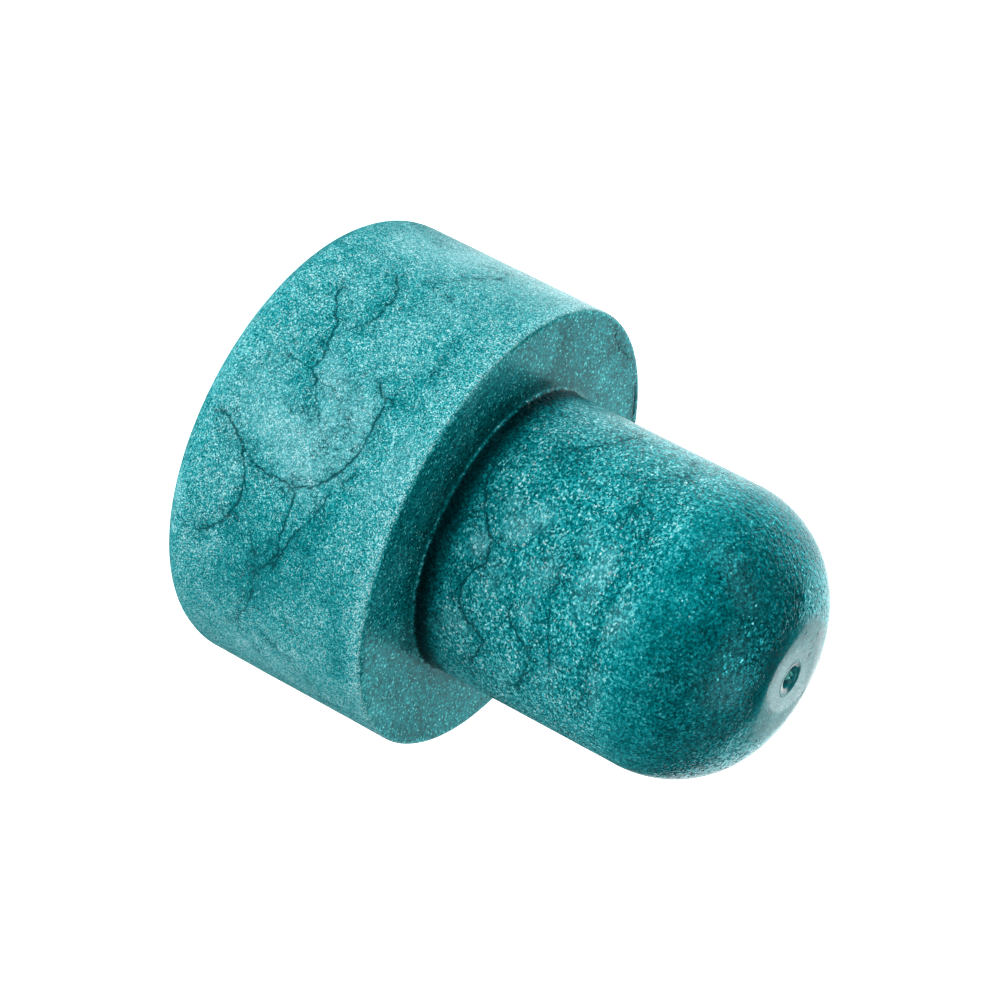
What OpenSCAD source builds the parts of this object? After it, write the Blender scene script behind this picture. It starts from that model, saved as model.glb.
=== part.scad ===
/* [Head] */
// Diameter of the head, the disc that a hand pulls on
head_d = 30; // [24:0.5:40]
// Height of the head along the stopper's axis
head_h = 16; // [10:0.5:24]
// Radius of the rounded edge round the flat outer end of the head
head_edge_r = 2.4; // [0.5:0.1:4]
// Radius that breaks the edge between the head's side and its lip face
lip_edge_r = 0.25; // [0.1:0.05:0.6]

/* [Shank] */
// Diameter of the plain shank that goes into the bottle's neck
shank_d = 19.2; // [16:0.1:22]
// Length of the shank from the lip face to the tip
shank_l = 21.3; // [14:0.1:30]
// Radius of the rounded corner at the tip of the shank
nose_r = 7.3; // [3:0.1:7.6]
// Radius of the fillet where the shank meets the lip face
root_fillet_r = 0.3; // [0.1:0.05:0.8]

/* [Gate mark] */
// Diameter of the round dish that the moulding gate left in the tip
gate_dish_d = 2.3; // [2:0.1:4]
// Depth of the dish below the tip
gate_dish_depth = 0.45; // [0.4:0.05:1]
// Width of the torn stub at the bottom of the dish
gate_stub_d = 1.2; // [0.4:0.1:1.8]
// Height of the torn stub, which ends below the tip
gate_stub_h = 0.25; // [0.1:0.05:0.35]

/* [Hidden] */
$fn = 144;
head_r = head_d / 2;
shank_r = shank_d / 2;
total_h = head_h + shank_l;
// Sphere that cuts the dish: it passes through the dish's rim and its lowest point
dish_r = gate_dish_d / 2;
dish_ball_r = (dish_r * dish_r + gate_dish_depth * gate_dish_depth) / (2 * gate_dish_depth);

// Half section of the head: a flat outer end, a large round edge behind and a small one at the lip face
module head_section() {
    difference() {
        square([head_r, head_h]);
        // Outer edge
        difference() {
            translate([head_r - head_edge_r, -1]) square([head_edge_r + 1, head_edge_r + 1]);
            translate([head_r - head_edge_r, head_edge_r]) circle(r = head_edge_r);
        }
        // Lip edge
        difference() {
            translate([head_r - lip_edge_r, head_h - lip_edge_r]) square([lip_edge_r + 1, lip_edge_r + 1]);
            translate([head_r - lip_edge_r, head_h - lip_edge_r]) circle(r = lip_edge_r);
        }
    }
}

// Half section of the shank: straight side, then a large round corner that runs into a small flat tip
module shank_section() {
    difference() {
        translate([0, head_h - 1]) square([shank_r, shank_l + 1]);
        difference() {
            translate([shank_r - nose_r, total_h - nose_r]) square([nose_r + 1, nose_r + 1]);
            translate([shank_r - nose_r, total_h - nose_r]) circle(r = nose_r);
        }
    }
}

// Half section of the fillet in the corner between the shank and the lip face
module root_fillet_section() {
    difference() {
        translate([shank_r - 0.5, head_h - 0.5]) square([root_fillet_r + 0.5, root_fillet_r + 0.5]);
        translate([shank_r + root_fillet_r, head_h + root_fillet_r]) circle(r = root_fillet_r);
    }
}

// The dish's half section: the part of the ball that reaches below the tip
module gate_dish_section() {
    intersection() {
        translate([0, total_h - gate_dish_depth + dish_ball_r]) circle(r = dish_ball_r);
        translate([0, total_h - gate_dish_depth - 1]) square([dish_r + 1, gate_dish_depth + 2]);
    }
}

// The stub left in the dish where the runner tore off
module gate_stub_section() {
    translate([0, total_h - gate_dish_depth - 0.2]) square([gate_stub_d / 2, gate_stub_h + 0.2]);
}

// The whole stopper, one moulding: head at the bottom, shank and nose up
module stopper() {
    color([0.07, 0.36, 0.37])
    rotate_extrude() {
        difference() {
            union() {
                head_section();
                shank_section();
                root_fillet_section();
            }
            gate_dish_section();
        }
        gate_stub_section();
    }
}

stopper();
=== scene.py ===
import math
import bpy
import bmesh
import numpy as np
from mathutils import Matrix, Vector, kdtree


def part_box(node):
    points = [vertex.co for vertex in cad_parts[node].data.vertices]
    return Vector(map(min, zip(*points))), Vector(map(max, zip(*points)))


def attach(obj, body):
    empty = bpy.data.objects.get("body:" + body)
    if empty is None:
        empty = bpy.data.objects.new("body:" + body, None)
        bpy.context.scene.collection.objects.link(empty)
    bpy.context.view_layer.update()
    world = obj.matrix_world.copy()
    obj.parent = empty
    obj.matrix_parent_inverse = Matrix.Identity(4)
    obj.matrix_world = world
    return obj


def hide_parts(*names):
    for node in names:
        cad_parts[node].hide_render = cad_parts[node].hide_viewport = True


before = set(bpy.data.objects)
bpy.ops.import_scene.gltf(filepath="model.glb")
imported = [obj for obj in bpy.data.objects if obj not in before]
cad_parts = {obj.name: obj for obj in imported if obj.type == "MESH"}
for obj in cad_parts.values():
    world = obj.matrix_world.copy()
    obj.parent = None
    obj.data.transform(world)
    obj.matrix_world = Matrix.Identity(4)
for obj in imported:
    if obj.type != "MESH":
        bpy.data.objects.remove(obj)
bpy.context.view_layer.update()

MM = 0.001

# ---------------------------------------------------------------- sizes, in millimetres
lo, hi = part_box("stopper")
HEAD_R = (hi.x - lo.x) / 2 / MM          # 15, half of the head's width
TOTAL = (hi.z - lo.z) / MM               # 37.3, head and shank together
HEAD_H = 16.0                            # where the lip face lies
BACK_R = 2.4                             # round edge of the outer end
LIP_R = 0.25                             # small edge of the lip face
SHANK_R = 9.6
ROOT_R = 0.3
NOSE_R = 7.3
TIP_R = SHANK_R - NOSE_R                 # flat disc at the tip
DISH_R = 1.15
DISH_D = 0.45
STEP = 0.30                              # spacing of the plain mesh


# ---------------------------------------------------------------- seeded noise over many points
def gradient_noise(p, seed):
    """Smooth noise, about -1 to 1, at each row of p, with cells one unit wide."""
    cell = np.floor(p).astype(np.int64)
    f = p - cell
    u = f * f * f * (f * (f * 6 - 15) + 10)
    out = np.zeros(len(p))
    for dx in (0, 1):
        for dy in (0, 1):
            for dz in (0, 1):
                c = cell + np.array((dx, dy, dz))
                h = (c[:, 0] * 73856093) ^ (c[:, 1] * 19349663) ^ (c[:, 2] * 83492791) ^ (seed * 2654435761)
                h = (h ^ (h >> 13)) * 1274126177 & 0xFFFFFFFF
                h = (h ^ (h >> 16)) * 2246822519 & 0xFFFFFFFF
                h = h ^ (h >> 15)
                a = (h & 0xFFFF) / 65536.0 * 2 * math.pi
                b = ((h >> 16) & 0xFFFF) / 65536.0 * 2 - 1
                s = np.sqrt(1 - b * b)
                d = f - np.array((dx, dy, dz))
                dot = d[:, 0] * s * np.cos(a) + d[:, 1] * s * np.sin(a) + d[:, 2] * b
                w = (u[:, 0] if dx else 1 - u[:, 0]) * (u[:, 1] if dy else 1 - u[:, 1]) * (u[:, 2] if dz else 1 - u[:, 2])
                out += w * dot
    return out * 1.6


def fractal(p, size, seed, octaves=3):
    total, amp, norm = np.zeros(len(p)), 1.0, 0.0
    for k in range(octaves):
        total += amp * gradient_noise(p / (size / 2 ** k) + 17.3 * k, seed + k)
        norm += amp
        amp *= 0.55
    return total / norm


def smoothstep(a, b, x):
    t = np.clip((x - a) / (b - a), 0, 1)
    return t * t * (3 - 2 * t)


# ---------------------------------------------------------------- the surface of revolution
def snap(r, z):
    """The true surface point next to each (r, z), and the outward normal there, as (r, z) pairs."""
    def arc(cr, cz, rad, sign=1):
        dr, dz = r - cr, z - cz
        n = np.maximum(np.hypot(dr, dz), 1e-9)
        return cr + dr / n * rad, cz + dz / n * rad, sign * dr / n, sign * dz / n
    one, zero = np.ones_like(r), np.zeros_like(r)
    back = arc(HEAD_R - BACK_R, BACK_R, BACK_R)
    lip = arc(HEAD_R - LIP_R, HEAD_H - LIP_R, LIP_R)
    root = arc(SHANK_R + ROOT_R, HEAD_H + ROOT_R, ROOT_R, -1)
    nose = arc(TIP_R, TOTAL - NOSE_R, NOSE_R)
    cases = [
        ((z < BACK_R) & (r > HEAD_R - BACK_R), back),
        (z < BACK_R * 0.5, (r, zero, zero, -one)),
        ((z > HEAD_H - LIP_R) & (r > HEAD_R - LIP_R), lip),
        (r > HEAD_R - LIP_R, (HEAD_R * one, z, one, zero)),
        ((r > SHANK_R + ROOT_R) & (z < HEAD_H + 0.2), (r, HEAD_H * one, zero, one)),
        (z < HEAD_H + ROOT_R, root),
        (z <= TOTAL - NOSE_R, (SHANK_R * one, z, one, zero)),
        (r > TIP_R, nose),
    ]
    conds = [c for c, _ in cases]
    last = (r, TOTAL * one, zero, one)
    return [np.select(conds, [v[k] for _, v in cases], last[k]) for k in range(4)]


def rings():
    """(r, z, count) from the middle of the outer end, over the outside, to the middle of the tip."""
    out = []
    count = lambda r, step: max(12, int(round(2 * math.pi * r / step / 4)) * 4)
    side, neck = count(HEAD_R, STEP), count(SHANK_R, STEP)
    for r in np.arange(0.5, HEAD_R - BACK_R - 0.3, 0.5):
        out.append((r, 0.0, count(r, 0.5)))
    for k in np.linspace(0, math.pi / 2, 14):
        out.append((HEAD_R - BACK_R + BACK_R * math.sin(k), BACK_R - BACK_R * math.cos(k), side))
    for z in np.linspace(BACK_R, HEAD_H - LIP_R, 46)[1:]:
        out.append((HEAD_R, z, side))
    for k in np.linspace(0, math.pi / 2, 6)[1:]:
        out.append((HEAD_R - LIP_R + LIP_R * math.cos(k), HEAD_H - LIP_R + LIP_R * math.sin(k), side))
    for r in np.linspace(HEAD_R - LIP_R, SHANK_R + ROOT_R, 17)[1:]:
        out.append((r, HEAD_H, count(r, STEP)))
    for k in np.linspace(0, math.pi / 2, 6)[1:]:
        out.append((SHANK_R + ROOT_R - ROOT_R * math.sin(k), HEAD_H + ROOT_R - ROOT_R * math.cos(k), neck))
    for z in np.linspace(HEAD_H + ROOT_R, TOTAL - NOSE_R, 47)[1:]:
        out.append((SHANK_R, z, neck))
    for k in np.linspace(0, math.pi / 2, 40)[1:]:
        r = TIP_R + NOSE_R * math.cos(k)
        out.append((r, TOTAL - NOSE_R + NOSE_R * math.sin(k), count(r, STEP)))
    for r in np.arange(TIP_R - 0.14, DISH_R + 0.2, -0.14):
        out.append((r, TOTAL, 96))
    for r in np.arange(DISH_R + 0.16, 0.05, -0.045):
        out.append((r, TOTAL, 132 if r > 0.6 else 64))
    return out


def revolve(rows):
    """Triangles between rings whose counts may differ, closed by a point at each end."""
    verts, faces = [(0.0, 0.0, rows[0][1])], []
    starts = []
    for r, z, n in rows:
        starts.append(len(verts))
        for j in range(n):
            t = 2 * math.pi * j / n
            verts.append((r * math.cos(t), r * math.sin(t), z))
    verts.append((0.0, 0.0, rows[-1][1]))
    n, s = rows[0][2], starts[0]
    faces += [(0, s + (j + 1) % n, s + j) for j in range(n)]
    for (_, _, na), (_, _, nb), sa, sb in zip(rows, rows[1:], starts, starts[1:]):
        i = j = 0
        while i < na or j < nb:
            if j >= nb or (i < na and (i + 1) * nb <= (j + 1) * na):
                faces.append((sa + i % na, sa + (i + 1) % na, sb + j % nb))
                i += 1
            else:
                faces.append((sa + i % na, sb + (j + 1) % nb, sb + j % nb))
                j += 1
    n, s = rows[-1][2], starts[-1]
    faces += [(s + j, s + (j + 1) % n, len(verts) - 1) for j in range(n)]
    return verts, faces


# ---------------------------------------------------------------- flow lines of the moulding
# Each line is (strength, points). On the head's and the shank's sides a point is (angle in degrees, height in mm).
HEAD_LINES = [
    (1.0, [(-104.7, 11.5), (-103.8, 11.7), (-102.7, 11.8), (-100.3, 11.85), (-98.5, 11.8), (-96.8, 11.85), (-95, 11.9), (-92.4, 11.95)]),
    (1.1, [(-91.2, 11.92), (-89.7, 11.85), (-88.5, 11.77), (-87.4, 11.6), (-86.05, 11.4), (-84.4, 11.27), (-83.3, 11.08), (-82.1, 10.85), (-81.2, 10.65), (-80, 10.42), (-79.3, 10.2), (-78.6, 9.9), (-78, 9.5), (-77.1, 9.2), (-76.35, 8.96)]),
    (1.0, [(-103.5, 12.5), (-103.7, 12.25), (-104.9, 12.05), (-104.7, 11.5), (-105.4, 11.15), (-106.5, 10.8), (-107.8, 10.5), (-109, 10.45)]),
    (0.7, [(-105.4, 11.9), (-103.9, 12.4), (-103.2, 12.2)]),
    (0.7, [(-108.4, 10.2), (-109.1, 9.8), (-109.7, 9.3)]),
    (1.05, [(-76.35, 8.96), (-76.6, 8.45), (-77, 8.1), (-76.8, 7.7), (-77.1, 7.4), (-76.7, 6.9), (-76.8, 6.6), (-77.1, 6.2), (-77, 6.0), (-77.5, 5.8), (-78, 5.45), (-78.6, 5.2)]),
    (1.1, [(-76.8, 5.08), (-78, 4.92), (-79.4, 4.7), (-80.3, 4.46), (-81.2, 4.23), (-81.8, 4.0), (-82.7, 3.7), (-83.1, 3.55), (-84, 3.1), (-84.6, 2.8), (-85, 2.1)]),
    (1.0, [(-76.8, 5.08), (-75, 5.35), (-73.8, 5.48), (-72.7, 5.54), (-71.5, 5.58), (-70, 5.68), (-68.4, 5.6), (-66.2, 5.55), (-64.4, 5.35), (-62.6, 5.1), (-60.8, 4.8), (-59, 4.4), (-57.2, 3.95), (-56, 3.5), (-54.9, 2.9)]),
    (0.85, [(-72.4, 5.58), (-71.5, 5.8), (-70, 5.98), (-68.5, 5.95)]),
    (0.6, [(-77.6, 4.6), (-78.3, 4.4), (-79.6, 3.9)]),
    (0.55, [(-78.8, 5.3), (-79.6, 5.0), (-80.6, 4.8)]),
    (0.5, [(-81.5, 4.2), (-82.4, 3.7), (-83.3, 3.0)]),
    (0.4, [(-65.3, 4.9), (-62.1, 4.75)]),
    (0.9, [(-76.35, 8.96), (-75, 9.1), (-73.9, 9.08), (-73, 9.15), (-71.5, 9.2), (-70, 9.2), (-68.4, 9.15), (-66.2, 9.15), (-63, 9.05), (-60.3, 9.15), (-58.1, 8.9), (-55.8, 8.55), (-54, 8.1), (-52.8, 7.85)]),
    (0.8, [(-86.9, 12.4), (-85.5, 12.3), (-84.6, 12.15), (-83.8, 12.0), (-83.2, 11.77), (-82.5, 11.6)]),
    (0.85, [(-80.6, 11.4), (-78.9, 11.35), (-78, 11.23), (-76.8, 11.18), (-75.6, 11.1), (-75, 11.0), (-73.9, 10.9), (-71.5, 10.7), (-68.9, 10.3), (-66.6, 9.95), (-63.9, 9.65), (-61.2, 9.45), (-58.5, 9.2), (-55.4, 8.9)]),
    (0.7, [(-76, 11.6), (-75.2, 11.05), (-75.3, 10.6)]),
    (0.7, [(-62.1, 6.9), (-59.4, 7.15), (-57.6, 7.45), (-55.4, 7.65), (-52.7, 7.8), (-49.5, 7.6), (-47.3, 7.85), (-45, 7.65), (-42.3, 7.4), (-39.6, 7.15), (-36, 6.7), (-32.4, 6.1)]),
    (0.35, [(-62.1, 11.0), (-58.5, 11.05), (-54.9, 10.95), (-50.4, 11.05)]),
    (1.0, [(-126, 4.45), (-123.8, 4.45), (-121.5, 4.7), (-119.7, 5.1), (-117.5, 5.4), (-116.2, 5.9), (-115, 6.05), (-113.8, 6.0), (-112.8, 6.15), (-111.6, 6.23), (-110.1, 6.23), (-109.4, 6.35), (-108.4, 6.44), (-107, 6.52), (-106.2, 6.58), (-104.9, 6.5), (-103.8, 6.35), (-103.2, 6.2)]),
    (0.6, [(-115, 6.5), (-113.4, 6.35), (-111.8, 6.3)]),
    (0.6, [(-110.2, 6.0), (-108.2, 6.1), (-106.6, 5.95)]),
    (0.75, [(-103.2, 6.2), (-103.8, 5.85), (-103, 5.77), (-103.4, 5.4), (-103.5, 5.15), (-103.4, 4.85), (-103.2, 4.55)]),
    (1.2, [(-103.2, 6.2), (-102.8, 6.42), (-102.2, 6.54), (-101.8, 6.77), (-101, 7.0), (-100.2, 7.1), (-99.4, 7.06), (-98.5, 7.02)]),
    (0.85, [(-99, 7.1), (-98.7, 7.46), (-97.8, 7.52), (-97.1, 7.58), (-96.8, 7.73), (-95.9, 7.8), (-95.5, 7.96), (-94.9, 8.08), (-94.4, 8.3), (-93.5, 8.42), (-92.7, 8.6), (-91.8, 8.8)]),
    (0.75, [(-98.5, 7.02), (-97.7, 7.27), (-96.8, 7.27), (-95.9, 7.37), (-95, 7.35), (-93.8, 7.27), (-93.1, 7.2), (-92.4, 7.04)]),
    (0.6, [(-98, 7.0), (-97.2, 6.85), (-96.6, 6.95)]),
    (0.6, [(-97.4, 9.6), (-96.9, 9.9), (-96.2, 10.1), (-95.5, 10.35), (-94.7, 10.55), (-94, 10.8), (-93.3, 10.95), (-91.8, 11.05)]),
    (0.5, [(-97.4, 10.15), (-95.6, 10.4), (-94.7, 10.7), (-93.7, 10.9)]),
    (0.5, [(-91.8, 10.9), (-90, 10.83), (-88.5, 10.8), (-87.1, 10.92)]),
    (0.6, [(-90.6, 10.3), (-89.4, 10.37), (-88.1, 10.42), (-87.2, 10.55)]),
    (0.5, [(-94.4, 9.45), (-93.1, 9.5), (-92.1, 9.7), (-90.6, 9.77), (-89.1, 9.85), (-87, 9.6), (-85.4, 9.7)]),
    (0.6, [(-102.4, 8.45), (-102.1, 8.85), (-101.6, 9.2), (-100.9, 9.6), (-100.1, 10.2)]),
    (0.6, [(-104.6, 8.1), (-104.1, 8.7), (-103.7, 9.2), (-102.7, 9.6), (-101.8, 9.95)]),
    (0.55, [(-92.4, 8.0), (-90.9, 7.9), (-89.1, 7.9)]),
    (0.5, [(-91.5, 7.73), (-89.7, 7.7)]),
    (0.55, [(-92.4, 8.4), (-91.2, 8.6), (-90, 8.5), (-89.2, 8.8)]),
    (0.5, [(-106, 4.0), (-105.4, 3.7)]),
    (0.4, [(-106.4, 6.1), (-105, 6.25), (-104.2, 6.0), (-103.1, 5.8)]),
    (0.8, [(-137.7, 6.3), (-135.9, 6.45), (-134.1, 6.8), (-132.3, 7.25), (-129.6, 7.6), (-127.8, 7.65), (-125.6, 7.6), (-123.3, 7.8), (-121.1, 7.6), (-118.8, 7.4), (-117, 7.05), (-115.7, 6.8), (-113.9, 6.4)]),
    (0.45, [(-128.9, 9.85), (-128.7, 8.9), (-128.5, 8.0)]),
    (0.35, [(-126.9, 7.0), (-124.2, 7.25), (-121.5, 7.0), (-119.7, 6.55)]),
    (0.75, [(-158, 10.7), (-154.8, 10.75), (-153, 10.4), (-150.8, 10.1), (-148.5, 9.7), (-145.8, 9.4), (-143.6, 9.15), (-141.8, 8.9), (-140.4, 8.55)]),
    (0.5, [(-126, 12.9), (-121.5, 13.1), (-117, 13.15), (-113.4, 13.05), (-111.2, 12.7), (-109.4, 12.2)]),
    (0.55, [(-34.2, 8.45), (-31.5, 9.15), (-28.8, 9.95), (-26.1, 10.7), (-23.4, 11.15), (-20.7, 11.6), (-18, 12.0)]),
    (0.4, [(-28.8, 6.55), (-27, 7.1), (-24.3, 7.85), (-21.6, 8.3)]),
]
SHANK_LINES = [
    (0.8, [(-159.7, 22.85), (-155.7, 22.9), (-152, 22.7), (-147.6, 22.55), (-143.9, 22.3), (-139.5, 21.9), (-135, 21.5), (-132.5, 21.2), (-130.5, 20.9)]),
    (0.6, [(-129, 20.6), (-126, 20.5), (-122, 20.5)]),
    (1.05, [(-93.2, 18.48), (-95.2, 18.33), (-97.2, 18.2), (-99.4, 18.04), (-101.2, 17.83), (-103.2, 17.58), (-105.1, 17.48), (-107.1, 17.5), (-109.6, 17.56), (-111.4, 17.62)]),
    (1.15, [(-93.2, 18.48), (-91.7, 18.8), (-90.7, 18.96), (-88.7, 19.17), (-87.2, 19.4), (-85.7, 19.67), (-83.8, 19.83), (-81.8, 19.96), (-79.3, 20.0), (-78, 20.02), (-76.3, 20.0), (-74.8, 19.83), (-73, 19.54), (-71.3, 19.33), (-69.3, 19.25), (-67.6, 19.13), (-65.6, 19.0), (-63.1, 19.0), (-60.1, 19.04), (-58.1, 19.2), (-56.6, 19.3), (-55.1, 19.5), (-53.6, 19.8), (-52.1, 19.96), (-51.5, 20.3), (-50.1, 20.67), (-49.2, 20.96), (-47.4, 21.25), (-45.2, 21.37)]),
    (0.95, [(-45.2, 21.2), (-43.2, 20.96), (-40.7, 20.8), (-37.7, 20.75), (-36.2, 20.6), (-33.7, 20.46), (-31.2, 20.4), (-28.7, 20.5)]),
    (0.7, [(-90.2, 18.75), (-88.2, 19.0), (-86, 19.37)]),
    (0.7, [(-94.5, 19.63), (-92.7, 19.67), (-90.7, 19.8)]),
    (0.6, [(-89, 20.0), (-88.5, 20.3), (-87.7, 20.6), (-85.2, 20.9)]),
    (1.0, [(-92.2, 18.67), (-90.5, 18.33), (-90, 18.17), (-89.2, 17.83), (-88, 17.54), (-86, 17.38), (-84.3, 17.33), (-82.3, 17.38), (-80.3, 17.3)]),
    (0.65, [(-90.7, 17.8), (-90.5, 17.2), (-89.7, 16.8)]),
    (0.55, [(-101.9, 17.8), (-101.2, 18.3), (-100.2, 18.8)]),
    (0.5, [(-124, 17.45), (-120.9, 17.6), (-119.6, 18.1), (-120.2, 18.6)]),
    (0.85, [(-94.2, 24.6), (-92.7, 24.8), (-91.2, 24.8), (-90, 24.67), (-88, 24.64), (-85.7, 24.62), (-84.3, 24.77), (-83, 24.87), (-81.3, 24.82), (-79.8, 24.82), (-77.5, 24.77), (-75.5, 24.88), (-73.5, 24.93), (-71.5, 25.1), (-69.6, 25.15), (-67.1, 25.3), (-64.6, 25.38), (-62.1, 25.5), (-60.1, 25.7), (-57.6, 25.8), (-55.1, 25.83), (-53.1, 25.98), (-50.6, 26.0), (-48, 26.15)]),
    (0.7, [(-94.7, 22.4), (-92.7, 22.6), (-90, 22.85)]),
    (0.7, [(-96.4, 23.2), (-95.2, 22.9), (-94, 22.7)]),
    (0.5, [(-93, 23.4), (-91.7, 23.55), (-90.5, 23.3), (-89.5, 23.1), (-88.5, 23.4), (-87.2, 23.5)]),
    (0.6, [(-77, 22.33), (-74, 22.4)]),
    (0.65, [(-70.2, 22.88), (-68.6, 23.04)]),
    (0.9, [(-68.8, 22.7), (-67.1, 22.57), (-65.1, 22.52), (-63.1, 22.6), (-60.6, 22.85), (-59.1, 23.13), (-57.1, 23.5), (-56.1, 23.87), (-54.6, 24.1), (-52.9, 24.4), (-51.1, 24.46), (-49.9, 24.83), (-49.2, 25.2)]),
    (0.75, [(-60.8, 22.8), (-59.6, 22.5)]),
    (0.75, [(-45.2, 24.6), (-42.2, 24.4), (-40.2, 24.17), (-38.2, 24.08), (-35.7, 23.9), (-33.7, 23.67), (-31.2, 23.5)]),
    (0.65, [(-50.4, 18.17), (-48.2, 18.0), (-46.2, 18.1)]),
    (0.6, [(-75.8, 17.0), (-74.5, 16.7)]),
    (0.6, [(-115.9, 28.65), (-110.3, 28.6), (-105.3, 28.55), (-100.3, 28.65), (-95.3, 28.95), (-92.9, 28.8), (-89.1, 28.65), (-85.4, 28.4), (-81.6, 28.25)]),
    (0.65, [(-80, 28.17), (-77, 28.23), (-74.5, 28.42), (-72, 28.46), (-70, 28.5), (-67, 28.46), (-64, 28.43), (-60.6, 28.5), (-57.6, 28.6), (-54.6, 28.6), (-52.1, 28.65), (-50.1, 28.68), (-47.2, 28.6), (-44.7, 28.5), (-42.7, 28.3), (-38, 28.3)]),
    (0.55, [(-106.5, 27.9), (-102.2, 27.75), (-99, 28), (-94, 28.1), (-90.4, 28.2)]),
    (0.75, [(-127.5, 26.3), (-125, 26.4), (-122, 26.5), (-118.6, 26.48), (-116.1, 26.54), (-113.1, 26.65), (-111.1, 26.67), (-108.6, 26.73), (-106.1, 26.9)]),
    (0.6, [(-159.5, 26.75), (-155.1, 26.9), (-150.7, 27.3), (-146.4, 27.45), (-142.7, 27.3), (-140.2, 27), (-137, 26.45), (-133.3, 25.9), (-132, 25.2), (-131.4, 24.6)]),
]
# On the nose and the lip face a point is (x, y) in mm.
NOSE_LINES = [
    (1.5, [(-3.1, 0.82), (-2.97, 0.72), (-2.84, 0.62), (-2.64, 0.58)]),
    (0.8, [(-2.38, 0.86), (-2.24, 0.64)]),
    (0.8, [(-2.88, -1.34), (-2.74, -1.44)]),
    (0.6, [(-1.9, 1.1), (-1.75, 0.95)]),
]


def surface(angle, height):
    """A point of the side at that height, in mm. Above the straight shank it follows the nose."""
    if height < HEAD_H:
        r = HEAD_R if height > BACK_R else HEAD_R - BACK_R + math.sqrt(max(BACK_R ** 2 - (BACK_R - height) ** 2, 0))
    elif height <= TOTAL - NOSE_R:
        r = SHANK_R
    else:
        r = TIP_R + math.sqrt(max(NOSE_R ** 2 - (height - TOTAL + NOSE_R) ** 2, 0))
    a = math.radians(angle)
    return (r * math.cos(a), r * math.sin(a), height)


def plan(x, y, part):
    r = math.hypot(x, y)
    if part == "lip":
        return (x, y, HEAD_H)
    if part == "end":
        return (x, y, 0.0)
    if r < TIP_R:
        return (x, y, TOTAL)
    return (x, y, TOTAL - NOSE_R + math.sqrt(max(NOSE_R ** 2 - (r - TIP_R) ** 2, 0)))


def wander(rng, start, heading, length, bend, step=0.6):
    """A line that drifts from side to side, as points in flat millimetres."""
    pts, p, turn = [start], np.array(start, float), 0.0
    for _ in range(int(length / step)):
        turn = turn * 0.72 + rng.normal(0, bend)
        heading += turn
        p = p + step * np.array((math.cos(heading), math.sin(heading)))
        pts.append(tuple(p))
    return pts, heading


def unseen_lines():
    """The same kind of line on the sides that no picture shows: seeded, and kept off the seen side."""
    rng = np.random.default_rng(41)
    out = []
    for part, radius, z0, z1, number in (("head", HEAD_R, 1.6, 15.2, 13), ("shank", SHANK_R, 17.0, 30.5, 8)):
        for _ in range(number):
            a0, z = rng.uniform(12, 168), rng.uniform(z0, z1)
            heading = rng.uniform(-0.7, 0.7) + (math.pi if rng.random() < 0.5 else 0)
            pts, last = wander(rng, (0.0, z), heading, rng.uniform(4, 11), 0.15)
            line = [(a0 + math.degrees(x / radius), y) for x, y in pts]
            line = [q for q in line if z0 < q[1] < z1 and 2 < q[0] < 178]
            if len(line) > 3:
                out.append((rng.uniform(0.80, 1.30), [surface(*q) for q in line]))
                k = len(line) // 2
                if rng.random() < 0.6:
                    side, _ = wander(rng, (0.0, line[k][1]), last + rng.choice((-1.3, 1.3)), rng.uniform(1.5, 4), 0.20)
                    twig = [(line[k][0] + math.degrees(x / radius), y) for x, y in side]
                    twig = [q for q in twig if z0 < q[1] < z1 and 2 < q[0] < 178]
                    if len(twig) > 2:
                        out.append((rng.uniform(0.65, 1.0), [surface(*q) for q in twig]))
    for part, number, r0, r1 in (("end", 8, 0.0, 11.0), ("lip", 4, 10.4, 14.2)):
        for _ in range(number):
            a, r = rng.uniform(0, 2 * math.pi) if part == "end" else rng.uniform(0.3, math.pi - 0.3), rng.uniform(max(r0, 2), r1)
            pts, _ = wander(rng, (r * math.cos(a), r * math.sin(a)), a + rng.choice((-1.5, 1.5)), rng.uniform(2.5, 8), 0.2)
            pts = [q for q in pts if r0 + 0.2 < math.hypot(*q) < r1 + 0.6]
            if len(pts) > 3:
                out.append((rng.uniform(0.65, 1.1), [plan(x, y, part) for x, y in pts]))
    return out


def all_lines():
    lines = [(w, [surface(*q) for q in pts]) for w, pts in HEAD_LINES + SHANK_LINES]
    lines += [(w, [plan(x, y, "nose") for x, y in pts]) for w, pts in NOSE_LINES]
    return lines + unseen_lines()


def catmull(pts, spacing):
    """Points every spacing mm along a smooth curve through pts."""
    p = np.array(pts, float)
    p = np.vstack([2 * p[0] - p[1], p, 2 * p[-1] - p[-2]])
    out = []
    for a, b, c, d in zip(p, p[1:], p[2:], p[3:]):
        n = max(2, int(np.linalg.norm(c - b) / spacing))
        t = np.arange(n)[:, None] / n
        out.append(0.5 * (2 * b + (c - a) * t + (2 * a - 5 * b + 4 * c - d) * t ** 2 + (3 * b - a - 3 * c + d) * t ** 3))
    out.append(p[-2][None])
    return np.vstack(out)


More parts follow.
